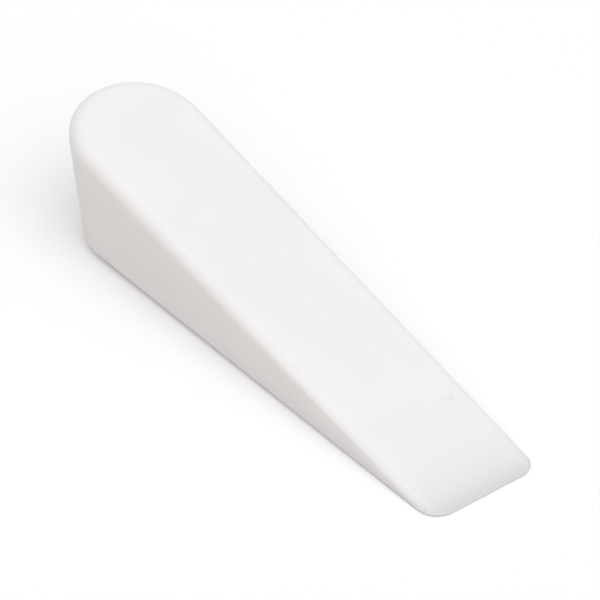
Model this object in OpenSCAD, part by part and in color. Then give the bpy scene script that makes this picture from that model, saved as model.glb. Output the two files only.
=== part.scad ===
// Tile wedge: one solid piece of moulded white plastic, thick and round at the heel, thin at the nose.
// +X runs from the heel to the nose. The base lies on z = 0, with the origin halfway along the wedge.
// The body is stretched between two flat outlines with rounded rims: the base and the sloping face.

/* [Overall size] */
// Length from the end of the heel to the tip of the nose
length = 30; // [20:0.5:60]
// Width across the round heel
width = 7.1; // [6:0.1:14]
// Height at the heel, from the base to the highest point
height = 7; // [4:0.1:10]

/* [Nose] */
// Thickness of the nose, whose edge is fully rounded
nose_thickness = 0.1; // [0.1:0.02:0.5]
// Width across the nose, just before its corners
nose_width = 6.55; // [4:0.05:14]
// Radius of the two nose corners, seen from above
nose_corner_r = 1.15; // [0.8:0.05:2]
// Radius of the two corners of the flat face at the nose, inside its rounded edge
flat_corner_r = 0.75; // [0.4:0.05:1.5]

/* [Edges and draft] */
// Round between the sloping face and the walls; it keeps this radius until the base cuts it short
face_edge_r = 0.7; // [0.3:0.05:1]
// Round between the walls and the base at the heel; it narrows to the nose's own round
base_edge_r = 0.7; // [0.2:0.05:1]
// Lean of the two long walls, in degrees, inwards towards the base
side_draft = 1.6; // [0:0.1:3]
// Lean of the heel's end, in degrees, inwards towards the base
heel_draft = 6; // [0:0.1:10]

/* [Mould mark] */
// Diameter of the shallow round mark that the mould leaves on the sloping face
mark_d = 0.7; // [0.3:0.05:1.2]
// Depth of the mark
mark_depth = 0.05; // [0.02:0.01:0.1]
// Distance from the tip of the nose to the middle of the mark, along the slope
mark_from_nose = 5.6; // [3:0.1:12]
// Distance from the long side, at its widest, to the middle of the mark
mark_from_edge = 1.15; // [1:0.05:3]

/* [Hidden] */

// Steps in a full turn of an outline, and around the round of its rim
ring_steps = 72;
rim_steps = 32;

nose_edge_r = nose_thickness / 2;
heel_r = width / 2;
foot_r = heel_r - height * tan(side_draft);
foot_inset = height * tan(heel_draft);

// The sloping face touches the rounds of the heel and of the nose, which sets its angle and its length
round_run = length - face_edge_r - nose_edge_r;
round_rise = height - face_edge_r - nose_edge_r;
round_distance = norm([round_run, round_rise]);
slope = atan2(round_rise, round_run) + asin((face_edge_r - nose_edge_r) / round_distance);
face_length = face_edge_r + sqrt(pow(round_distance, 2) - pow(face_edge_r - nose_edge_r, 2)) + nose_edge_r;

// At the start of the flat face's corners: how deep the middle of the nose's thickness lies below the face,
// how far out the face's round has come at that depth, and half the width it would reach if it were whole
corner_depth = nose_edge_r + flat_corner_r * tan(slope);
corner_reach = sqrt(pow(face_edge_r, 2) - pow(face_edge_r - min(corner_depth, face_edge_r), 2));
face_nose_half = nose_width / 2 - corner_reach + face_edge_r;

// Half the width of the sloping face's outline beside the mark
mark_half_width = face_nose_half + (heel_r - face_nose_half) * mark_from_nose / face_length;
// Radius of the ball whose cap is the mark
mark_ball_r = (pow(mark_d / 2, 2) + pow(mark_depth, 2)) / (2 * mark_depth);

// Puts its children on the sloping face: x = 0 at the heel's end, x down the slope, z square to it
module on_slope() {
    translate([face_edge_r, 0, height - face_edge_r])
        rotate([0, slope, 0])
            translate([-face_edge_r, 0, face_edge_r])
                children();
}

// Angle, from +X, at which the straight side of an outline touches its heel and its nose corner
function side_angle(round_r, corner_r, run, out) =
    atan2(out, run) + acos((round_r - corner_r) / norm([run, out]));

// Arc of rounded rim, lying on z = 0: r is its reach, rim_r its round, and it starts at the angle from
module rim_arc(r, rim_r, from, turn) {
    rotate_extrude(start = from, angle = turn, $fn = ring_steps)
        translate([r - rim_r, rim_r])
            circle(r = rim_r, $fn = rim_steps);
}

// Rims of one outline, in two mirrored halves: the round heel from x = 0, and a nose corner that reaches
// to x = end and y = half
module outline_rims(round_r, rim_r, corner_r, corner_rim_r, end, half) {
    side = side_angle(round_r, corner_r, end - corner_r - round_r, half - corner_r);
    for (flip = [0, 1])
        mirror([0, flip, 0]) {
            translate([round_r, 0, 0])
                rim_arc(round_r, rim_r, side, 180 - side);
            translate([end - corner_r, half - corner_r, 0])
                rim_arc(corner_r, corner_rim_r, 0, side);
        }
}

// Rims of the base, whose round narrows to the nose's own
module base_rims() {
    translate([foot_inset, 0, 0])
        outline_rims(foot_r, base_edge_r, nose_corner_r, nose_edge_r, length - foot_inset, nose_width / 2);
}

// Rims of the sloping face, which hang below it; they end where they would be thinner than the nose
module face_rims() {
    intersection() {
        on_slope()
            mirror([0, 0, 1])
                outline_rims(heel_r, face_edge_r, flat_corner_r + face_edge_r, face_edge_r,
                    face_length - nose_edge_r + face_edge_r, face_nose_half);
        translate([-width, -width, nose_thickness])
            cube([length + 2 * width, 2 * width, 2 * height]);
    }
}

// Body stretched over the rims
module body() {
    hull() {
        base_rims();
        face_rims();
    }
}

// Ball that dishes the mark into the sloping face
module mark_ball() {
    on_slope()
        translate([face_length - mark_from_nose, mark_half_width - mark_from_edge, mark_ball_r - mark_depth])
            sphere(r = mark_ball_r, $fn = ring_steps);
}

module wedge() {
    color("white")
        translate([-length / 2, 0, 0])
            difference() {
                body();
                mark_ball();
            }
}

wedge();
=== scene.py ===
import math

import bpy
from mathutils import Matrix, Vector


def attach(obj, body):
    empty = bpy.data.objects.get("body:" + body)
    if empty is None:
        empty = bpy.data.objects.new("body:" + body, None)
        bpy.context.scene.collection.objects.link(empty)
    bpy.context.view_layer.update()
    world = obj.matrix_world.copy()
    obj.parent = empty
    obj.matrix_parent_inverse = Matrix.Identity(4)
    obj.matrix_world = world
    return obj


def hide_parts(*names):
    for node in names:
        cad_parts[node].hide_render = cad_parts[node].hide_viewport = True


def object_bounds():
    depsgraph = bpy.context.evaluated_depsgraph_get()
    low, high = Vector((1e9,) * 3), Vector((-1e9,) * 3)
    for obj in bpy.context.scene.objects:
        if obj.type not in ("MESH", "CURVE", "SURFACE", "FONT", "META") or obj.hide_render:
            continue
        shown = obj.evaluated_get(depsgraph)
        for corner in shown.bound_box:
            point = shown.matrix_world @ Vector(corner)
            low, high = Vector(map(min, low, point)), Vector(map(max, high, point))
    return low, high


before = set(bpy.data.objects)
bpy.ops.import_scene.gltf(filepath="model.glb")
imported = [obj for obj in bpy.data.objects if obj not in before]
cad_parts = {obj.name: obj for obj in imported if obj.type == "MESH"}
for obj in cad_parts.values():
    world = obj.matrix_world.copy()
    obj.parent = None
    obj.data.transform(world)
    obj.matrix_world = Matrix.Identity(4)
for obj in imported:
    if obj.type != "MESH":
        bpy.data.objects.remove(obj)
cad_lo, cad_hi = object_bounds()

# Wedge: one injection-moulded piece of white polypropylene that lifts and levels a tile. It is thick and
# round at the heel and thin at the nose, and its walls lean inwards towards the base so that it leaves
# the mould. Every edge is rounded, and the mould's steel has left it a fine satin skin.

# Sizes are in millimetres until the mesh is made, and x = 0 is the end of the heel
length, width, height = 30.0, 7.1, 7.0
nose_thickness, nose_width = 0.1, 6.55
# Radius of the nose's two corners, and of the flat face's two corners inside its rounded edge
nose_corner_r, flat_corner_r = 1.15, 0.75
# Round at the sloping face, and at the base beside the heel
edge_r = 0.7
# Lean of the long walls and of the heel's end
side_draft, heel_draft = math.radians(1.6), math.radians(6.0)

# Steps along the outline: half of the heel, one long side, one nose corner, half of the nose's end
heel_steps, side_steps, corner_steps, end_steps = 40, 56, 16, 12
# Steps down one section: the round at the sloping face, the wall, the round at the base
top_steps, wall_steps, base_steps = 20, 10, 12

nose_edge_r = nose_thickness / 2
heel_r = width / 2
foot_r = heel_r - height * math.tan(side_draft)
foot_inset = height * math.tan(heel_draft)

# The sloping face touches the rounds of the heel and of the nose
run, rise = length - edge_r - nose_edge_r, height - edge_r - nose_edge_r
spread = math.hypot(run, rise)
slope = math.atan2(rise, run) + math.asin((edge_r - nose_edge_r) / spread)
face_length = edge_r + math.sqrt(spread ** 2 - (edge_r - nose_edge_r) ** 2) + nose_edge_r

along = Vector((1, 0, 0))
across = Vector((0, 1, 0))
upright = Vector((0, 0, 1))
down_slope = Vector((math.cos(slope), 0, -math.sin(slope)))
off_slope = Vector((math.sin(slope), 0, math.cos(slope)))
middle = Vector((length / 2, 0, 0))

# The face's round keeps its radius to the nose, where the base cuts it short: how deep the middle of the
# nose lies below the face where the corners begin, and how far out the round has come at that depth
corner_depth = nose_edge_r + flat_corner_r * math.tan(slope)
corner_reach = math.sqrt(edge_r ** 2 - (edge_r - corner_depth) ** 2)
flat_nose_half = nose_width / 2 - corner_reach

# Rings of rim: the ring's centre, the radius of its middle line, and the round about that line
heel_pin = Vector((edge_r, 0, height - edge_r))
heel_top = (heel_pin + (heel_r - edge_r) * down_slope, heel_r - edge_r, edge_r)
heel_base = (Vector((foot_inset + foot_r, 0, edge_r)), foot_r - edge_r, edge_r)
nose_pin = Vector((length - nose_edge_r, 0, nose_edge_r))
corner_top = (
    nose_pin - (edge_r - nose_edge_r) * off_slope - flat_corner_r * down_slope
    + (flat_nose_half - flat_corner_r) * across,
    flat_corner_r, edge_r)
corner_y = nose_width / 2 - nose_corner_r
corner_base = (
    nose_pin - (nose_corner_r - nose_edge_r) * along + corner_y * across,
    nose_corner_r - nose_edge_r, nose_edge_r)

# Angle, from +X, at which the straight sides touch the heel and the nose corners
side_run = corner_base[0].x - heel_base[0].x
side_turn = math.acos((foot_r - nose_corner_r) / math.hypot(side_run, corner_y))
side_angle = math.atan2(corner_y, side_run) + side_turn

# The lean of a wall is found between these limits, by halving the gap between them
most_lean = math.radians(20)
halvings = 50


def flat_part(v, lie):
    """Direction of a vector in the plane that lies square to lie."""
    return (v - v.dot(lie) * lie).normalized()


def reach(ring, lie, normal):
    """How far a ring of rim, lying square to lie, reaches along a normal."""
    centre, ring_r, round_r = ring
    return centre.dot(normal) + ring_r * (normal - normal.dot(lie) * lie).length + round_r


def leaning(turn, tilt):
    """Normal at an angle turn round the outline, tilted up from level."""
    flat = Vector((math.cos(turn), math.sin(turn), 0))
    return math.cos(tilt) * flat + math.sin(tilt) * upright


def wall_normal(top, base, turn):
    """Normal of the wall that touches both rims, at an angle turn round the outline."""
    low, high = -most_lean, most_lean
    for _ in range(halvings):
        normal = leaning(turn, (low + high) / 2)
        if reach(top, off_slope, normal) > reach(base, upright, normal):
            high = (low + high) / 2
        else:
            low = (low + high) / 2
    return normal


def section(top, base, normal, lowest=None):
    """Points of one section with their normals, from the edge of the sloping face over the wall, which
    faces along normal, to the edge of the base. Where lowest is given, the rim of the sloping face counts
    only above that height, and only where it reaches further than the base's."""
    top_out, base_out = flat_part(normal, off_slope), flat_part(normal, upright)
    made = []
    full = math.acos(normal.dot(off_slope))
    for k in range(top_steps + 1):
        bend = full * k / top_steps
        n = math.sin(bend) * top_out + math.cos(bend) * off_slope
        p = top[0] + top[1] * top_out + top[2] * n
        if lowest and (p.z < lowest or reach(base, upright, n) > reach(top, off_slope, n)):
            p = base[0] + base[1] * flat_part(n, upright) + base[2] * n
        made.append((p, n))
    full = math.asin(normal.z)
    foot = base[0] + base[1] * base_out + base[2] * normal
    for k in range(1, wall_steps):
        made.append((made[top_steps][0].lerp(foot, k / wall_steps), normal))
    for k in range(base_steps + 1):
        bend = full - (full + math.pi / 2) * k / base_steps
        n = math.cos(bend) * base_out + math.sin(bend) * upright
        made.append((base[0] + base[1] * base_out + base[2] * n, n))
    return made


def blended(start, end, share):
    """A section between two others."""
    return [(a[0].lerp(b[0], share), a[1].lerp(b[1], share).normalized()) for a, b in zip(start, end)]


# Sections of the +Y half, from the middle of the heel to the middle of the nose's end
half = []
for k in range(heel_steps + 1):
    turn = math.pi - (math.pi - side_angle) * k / heel_steps
    half.append(section(heel_top, heel_base, wall_normal(heel_top, heel_base, turn)))
side_tilt = math.asin(half[-1][top_steps][1].z)
corner = [
    section(corner_top, corner_base, leaning(side_angle * (1 - k / corner_steps), side_tilt), nose_thickness)
    for k in range(corner_steps + 1)
]
half += [blended(half[-1], corner[0], k / side_steps) for k in range(1, side_steps)]
half += corner
end_row = len(half) - 1
half += [
    [(p - across * (corner_y * k / end_steps), n) for p, n in corner[-1]]
    for k in range(1, end_steps + 1)
]


def flipped(v):
    """A point or a normal of the other half."""
    return Vector((v.x, -v.y, v.z))


ring = half + [[(flipped(p), flipped(n)) for p, n in s] for s in half[-2:0:-1]]

# Mesh data of the wedge. Points that round to the same place are one, so that no faces of no area are
# left where rims meet at the nose.
place_digits = 4
points, normals, known, faces = [], [], {}, []
# Shares of a rubbed rim, and of the shade painted into the mould mark's colour
rim_shares, painted_shade_shares = [], []


def point(p, n, rim=0.0, painted_mark_shade=0.0):
    """Number of the mesh point at p, with its share of a rubbed rim and of the shade painted in the mould
    mark.
    """
    key = tuple(round(c, place_digits) for c in p)
    if key not in known:
        known[key] = len(points)
        points.append(p)
        normals.append(n)
        rim_shares.append(rim)
        painted_shade_shares.append(painted_mark_shade)
    return known[key]


def face(*corners):
    """One face, unless its points fall together."""
    kept = [c for k, c in enumerate(corners) if c != corners[k - 1]]
    if len(set(kept)) > 2:
        faces.append(kept)


def rim_share(k):
    """1 at the middle of a round and 0 on the wall and the flats, for the wear of the edges."""
    if k <= top_steps:
        return math.sin(math.pi * k / top_steps)
    if k < top_steps + wall_steps:
        return 0.0
    return math.sin(math.pi * (k - top_steps - wall_steps) / base_steps)


rows = [[point(p, n, rim_share(k)) for k, (p, n) in enumerate(s)] for s in ring]
for k, row in enumerate(rows):
    after = rows[(k + 1) % len(rows)]
    for a in range(len(row) - 1):
        face(row[a], after[a], after[a + 1], row[a + 1])

# The sloping face and the base are filled with rows across, from each section to its mirror image
columns = 2 * end_steps


def cap_rows(level, normal):
    """Rows of mesh points across a flat face, from the first section after the heel's middle to the nose."""
    made = []
    for k in range(1, end_row):
        a, b = rows[k][level], rows[-k][level]
        made.append(
            [a]
            + [point(points[a].lerp(points[b], j / columns), normal) for j in range(1, columns)]
            + [b]
        )
    made.append([rows[k][level] for k in range(end_row, end_row + columns + 1)])
    return made


def fill(grid, apex, skip=(0, 0, 0, 0)):
    """Faces over a grid of points and a fan to its apex, but for a window of rows and columns."""
    first, last, left, right = skip
    for j in range(columns):
        face(apex, grid[0][j + 1], grid[0][j])
    for k in range(len(grid) - 1):
        for j in range(columns):
            if not (first <= k < last and left <= j < right):
                face(grid[k][j], grid[k][j + 1], grid[k + 1][j + 1], grid[k + 1][j])


# Mould mark: a shallow round dent in the sloping face, where a pin of the mould stood a little proud of
# the steel. The pin leaned a little, so the dent is deeper towards the nose, where its wall shows as a
# faint hook of shade.
mark_r, mark_from_nose, mark_from_edge = 0.41, 5.73, 1.27
mark_depth, mark_wall = 0.08, 0.28
# Share of the depth at the mark's middle, and how much the lean adds to it or takes off it at the edge
middle_share, lean_share = 0.55, 0.45
pin_turn = math.radians(20)
pin_lean = math.cos(pin_turn) * down_slope + math.sin(pin_turn) * across
# Rings of points in the mark, as shares of its radius: close together on the wall, wide apart on the floor
mark_shares = [1.0, 0.93, 0.86, 0.79, 0.72, 0.65, 0.58, 0.51, 0.44, 0.37, 0.28, 0.15]
# Half the least size of the window left for the mark, down the slope and across, in radii of the mark
window_down, window_across = 1.25, 1.15
# Painted shade on the deep side of the mark's wall: its share square to the pin's lean, and how much that
# grows towards the lean
painted_shade_side_share, painted_shade_growth = 0.6, 1.2


def wall_share(v):
    """How far down the mark's wall a point lies, from 0 at its edge to 1 at its floor."""
    return min(max((mark_r - v.length) / mark_wall, 0.0), 1.0)


def dent(v):
    """Depth of the mark at a point of the face that lies at v from the mark's middle."""
    lean = middle_share + lean_share * v.dot(pin_lean) / mark_r
    return mark_depth * lean * wall_share(v) ** 2 * (3 - 2 * wall_share(v))


def dent_normal(v, h=0.002):
    """Normal of the mark at v, from the depths a hair to each side."""
    down = (dent(v + h * down_slope) - dent(v - h * down_slope)) / (2 * h)
    side = (dent(v + h * across) - dent(v - h * across)) / (2 * h)
    return (off_slope + down * down_slope + side * across).normalized()


def painted_shade_at(v):
    """Share of painted shade in the mark at v: most halfway down its wall, on its deep side."""
    deep_side = min(max(painted_shade_side_share + painted_shade_growth * v.normalized().dot(pin_lean), 0.0), 1.0)
    return 4 * wall_share(v) * (1 - wall_share(v)) * deep_side


face_start = heel_pin - edge_r * down_slope + edge_r * off_slope
whole_half = flat_nose_half + edge_r
mark_half = whole_half + (heel_r - whole_half) * mark_from_nose / face_length
mark_at = face_start + (face_length - mark_from_nose) * down_slope + (mark_half - mark_from_edge) * across

top_grid = cap_rows(0, off_slope)
reach_x = [(points[row[0]] - mark_at).dot(down_slope) for row in top_grid]
first = max(k for k, x in enumerate(reach_x) if x < -window_down * mark_r)
last = min(k for k, x in enumerate(reach_x) if x > window_down * mark_r)
reach_y = [points[c].y - mark_at.y for c in top_grid[(first + last) // 2]]
left = max(k for k, y in enumerate(reach_y) if y > window_across * mark_r)
right = min(k for k, y in enumerate(reach_y) if y < -window_across * mark_r)
fill(top_grid, rows[0][0], (first, last, left, right))

loop = [top_grid[k][left] for k in range(first, last)]
loop += [top_grid[last][j] for j in range(left, right)]
loop += [top_grid[k][right] for k in range(last, first, -1)]
loop += [top_grid[first][j] for j in range(right, left, -1)]
outer = loop
for share in mark_shares:
    inner = []
    for c in loop:
        way = points[c] - mark_at
        v = share * mark_r * (way - way.dot(off_slope) * off_slope).normalized()
        # Each point of the mark gets its share of painted shade
        inner.append(point(mark_at + v - dent(v) * off_slope, dent_normal(v), painted_mark_shade=painted_shade_at(v)))
    for j in range(len(loop)):
        face(outer[j], outer[j - 1], inner[j - 1], inner[j])
    outer = inner
still = Vector((0, 0, 0))
hub = point(mark_at - dent(still) * off_slope, dent_normal(still))
for j in range(len(loop)):
    face(outer[j], outer[j - 1], hub)

# The base is filled as the sloping face is, and its faces are turned to look down
base_grid = cap_rows(-1, -upright)
faces_above = len(faces)
fill(base_grid, rows[0][-1])
for k in range(faces_above, len(faces)):
    faces[k] = faces[k][::-1]

# The mesh stands in the row's frame, in metres, a hair smaller than the part's own box
hair = 0.99999
fit = min(
    min(cad_hi.x, -cad_lo.x) / (length / 2),
    min(cad_hi.y, -cad_lo.y) / (width / 2),
    cad_hi.z / height,
) * hair
data = bpy.data.meshes.new("wedge_moulded")
data.from_pydata([(p - middle) * fit for p in points], [], faces)
data.validate()
data.shade_smooth()
data.normals_split_custom_set_from_vertices([n.normalized() for n in normals])
data.attributes.new("rim", "FLOAT", "POINT").data.foreach_set("value", rim_shares)
# The shade painted in the mould mark is kept on the points for the material
data.attributes.new("painted_mark_shade", "FLOAT", "POINT").data.foreach_set("value", painted_shade_shares)
wedge = bpy.data.objects.new("wedge_moulded", data)
bpy.context.scene.collection.objects.link(wedge)


def colour(code):
    """Linear colour of an sRGB hex code."""
    parts = [int(code[k:k + 2], 16) / 255 for k in (1, 3, 5)]
    return [c / 12.92 if c <= 0.04045 else ((c + 0.055) / 1.055) ** 2.4 for c in parts] + [1.0]


def add_node(tree, kind, settings=None, inputs=None):
    """Adds a node with its settings; an input is a value or another node's output."""
    made = tree.nodes.new(kind)
    for name, value in (settings or {}).items():
        setattr(made, name, value)
    for socket, value in (inputs or {}).items():
        if isinstance(value, bpy.types.NodeSocket):
            tree.links.new(value, made.inputs[socket])
        else:
            made.inputs[socket].default_value = value
    return made


def per_mm(size):
    """Texture scale that gives features of about size millimetres."""
    return 1000 / size


# White polypropylene, injection moulded against satin steel: a soft milky white that light enters a little
# way, with a broad dull sheen, a fine grain, and faint cloudiness where the melt flowed and cooled
plastic = bpy.data.materials.new("white_polypropylene_satin_moulded")
plastic.use_nodes = True
tree = plastic.node_tree
tree.nodes.clear()
where = add_node(tree, "ShaderNodeTexCoord").outputs["Object"]
# Colour sockets of a Mix node, by number, because its other kinds of socket have the same names
MIX_A, MIX_B, MIX_OUT = 6, 7, 2

# Clouds a few millimetres wide in the colour
clouds = add_node(tree, "ShaderNodeTexNoise", inputs={
    "Vector": where, "Scale": per_mm(5), "Detail": 3.0, "Roughness": 0.55})
cloudy = add_node(tree, "ShaderNodeMapRange", inputs={
    "Value": clouds.outputs["Fac"], "From Min": 0.3, "From Max": 0.7})
base = add_node(tree, "ShaderNodeMix", {"data_type": "RGBA"}, {
    0: cloudy.outputs[0], MIX_A: colour("#EDEBEC"), MIX_B: colour("#F0EEEF")})
# Painted light: the colour is made a little cooler from 2 mm high down to the tip, standing in for the light
# that passes through the thin nose
spot = add_node(tree, "ShaderNodeSeparateXYZ", inputs={0: where})
thin = add_node(tree, "ShaderNodeMapRange", {"interpolation_type": "SMOOTHSTEP"}, {
    "Value": spot.outputs["Z"], "From Min": 0.002, "From Max": 0.0002, "To Min": 0.0, "To Max": 1.0})
tint = add_node(tree, "ShaderNodeMix", {"data_type": "RGBA"}, {
    0: thin.outputs[0], MIX_A: base.outputs[MIX_OUT], MIX_B: colour("#EFEEF2")})
# Painted shade: a darker colour on the deep side of the mould mark, halfway down its wall
painted_mark_shade = add_node(tree, "ShaderNodeAttribute", {"attribute_name": "painted_mark_shade"})
painted_shade_mix = add_node(tree, "ShaderNodeMix", {"data_type": "RGBA"}, {
    0: painted_mark_shade.outputs["Fac"], MIX_A: tint.outputs[MIX_OUT], MIX_B: colour("#E7E7E8")})

# Gloss varies softly, and the rubbed edges are a little smoother
edge_rub = 0.06
gloss = add_node(tree, "ShaderNodeTexNoise", inputs={
    "Vector": where, "Scale": per_mm(2.5), "Detail": 4.0, "Roughness": 0.6})
satin = add_node(tree, "ShaderNodeMapRange", inputs={
    "Value": gloss.outputs["Fac"], "From Min": 0.3, "From Max": 0.7, "To Min": 0.42, "To Max": 0.52})
rim = add_node(tree, "ShaderNodeAttribute", {"attribute_name": "rim"})
rubbed = add_node(tree, "ShaderNodeMath", {"operation": "MULTIPLY_ADD"}, {
    0: rim.outputs["Fac"], 1: -edge_rub, 2: satin.outputs[0]})

# Grain of the mould's steel, drawn about 0.12 mm wide, coarser than the real one so that it can show, over
# the slow waves of cooling, about 7 mm
grain = add_node(tree, "ShaderNodeTexNoise", inputs={
    "Vector": where, "Scale": per_mm(0.12), "Detail": 2.0, "Roughness": 0.5})
waves = add_node(tree, "ShaderNodeTexNoise", inputs={
    "Vector": where, "Scale": per_mm(7), "Detail": 1.0, "Roughness": 0.4})
wavy = add_node(tree, "ShaderNodeBump", inputs={
    "Strength": 1.0, "Distance": 0.00002, "Height": waves.outputs["Fac"]})
grainy = add_node(tree, "ShaderNodeBump", inputs={
    "Strength": 1.0, "Distance": 0.000002, "Height": grain.outputs["Fac"], "Normal": wavy.outputs[0]})

shader = add_node(tree, "ShaderNodeBsdfPrincipled", inputs={
    "Base Color": painted_shade_mix.outputs[MIX_OUT], "Roughness": rubbed.outputs[0], "IOR": 1.49,
    "Normal": grainy.outputs[0], "Subsurface Weight": 0.5, "Subsurface Radius": (1.0, 0.98, 0.95),
    "Subsurface Scale": 0.0012})
add_node(tree, "ShaderNodeOutputMaterial", inputs={"Surface": shader.outputs[0]})
data.materials.append(plastic)

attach(wedge, "root")
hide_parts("wedge")

# Floor: a plain pale sheet of paper, 3 m square, laid a hair below the wedge. It looks white to the camera
# and keeps the wedge's soft shadow.
floor_half, floor_drop = 1.5, 0.00002
floor_data = bpy.data.meshes.new("floor")
floor_data.from_pydata(
    [(x * floor_half, y * floor_half, -floor_drop) for x, y in ((-1, -1), (1, -1), (1, 1), (-1, 1))],
    [], [(0, 1, 2, 3)])
floor = bpy.data.objects.new("floor", floor_data)
bpy.context.scene.collection.objects.link(floor)


def seen_by_camera(tree):
    """Output that is 1 for what the camera sees, also by reflection or through glass, and 0 for scattered
    light."""
    path = add_node(tree, "ShaderNodeLightPath")
    seen = add_node(tree, "ShaderNodeMath", {"operation": "MAXIMUM"}, {
        0: path.outputs["Is Camera Ray"], 1: path.outputs["Is Glossy Ray"]})
    seen = add_node(tree, "ShaderNodeMath", {"operation": "MAXIMUM"}, {
        0: seen.outputs[0], 1: path.outputs["Is Transmission Ray"]})
    return seen.outputs[0]


# Uncoated white paper, rolled matt: no gloss at all, and it throws a slightly darker, warmer light back on
# the wedge than it shows to the camera
paper = bpy.data.materials.new("matt_paper_sheet")
paper.use_nodes = True
tree = paper.node_tree
tree.nodes.clear()
shade = add_node(tree, "ShaderNodeMix", {"data_type": "RGBA"}, {
    0: seen_by_camera(tree), MIX_A: colour("#E6DFD8"), MIX_B: colour("#FFFFFF")})
matt = add_node(tree, "ShaderNodeBsdfDiffuse", inputs={"Color": shade.outputs[MIX_OUT]})
add_node(tree, "ShaderNodeOutputMaterial", inputs={"Surface": matt.outputs[0]})
floor_data.materials.append(paper)

# Studio light: a white tent that lights the wedge brightly from overhead and dimly from its foot, and
# looks plain white to the camera, with one large soft lamp above the nose, on the camera's side
world = bpy.data.worlds.new("tent_of_light")
bpy.context.scene.world = world
world.use_nodes = True
tree = world.node_tree
tree.nodes.clear()
sky = add_node(tree, "ShaderNodeTexCoord").outputs["Generated"]
up = add_node(tree, "ShaderNodeSeparateXYZ", inputs={0: sky})
glow = add_node(tree, "ShaderNodeMapRange", inputs={
    "Value": up.outputs["Z"], "From Min": 0.0, "From Max": 0.6, "To Min": 0.1, "To Max": 0.775})
strength = add_node(tree, "ShaderNodeMapRange", inputs={
    "Value": seen_by_camera(tree), "To Min": glow.outputs[0], "To Max": 1.0})
tent = add_node(tree, "ShaderNodeBackground", inputs={
    "Color": colour("#FFFFFF"), "Strength": strength.outputs[0]})
add_node(tree, "ShaderNodeOutputWorld", inputs={"Surface": tent.outputs[0]})

key_from = Vector((0.9, -0.3, 1.25))
key_data = bpy.data.lights.new("soft_key", "SUN")
key_data.energy = 1.2
key_data.angle = math.radians(70)
key = bpy.data.objects.new("soft_key", key_data)
key.rotation_mode = "QUATERNION"
key.rotation_quaternion = key_from.to_track_quat("Z", "Y")
bpy.context.scene.collection.objects.link(key)

# Camera: a long lens close to the wedge, on the nose's side and above it, at the photograph's angle. Its
# distance and its target are in metres.
azimuth, elevation, distance = math.radians(51.2313), math.radians(37.5916), 0.2414772
target = Vector((0.0002444, 0.0006246, 0.0023333))
camera_data = bpy.data.cameras.new("camera")
camera_data.lens = 300
camera_data.sensor_width = 36
camera_data.clip_start = 0.001
camera = bpy.data.objects.new("camera", camera_data)
back = Vector((
    math.sin(azimuth) * math.cos(elevation),
    -math.cos(azimuth) * math.cos(elevation),
    math.sin(elevation),
))
camera.location = target + distance * back
camera.rotation_mode = "QUATERNION"
camera.rotation_quaternion = back.to_track_quat("Z", "Y")
bpy.context.scene.collection.objects.link(camera)
bpy.context.scene.camera = camera

bpy.context.scene.view_settings.view_transform = "Standard"
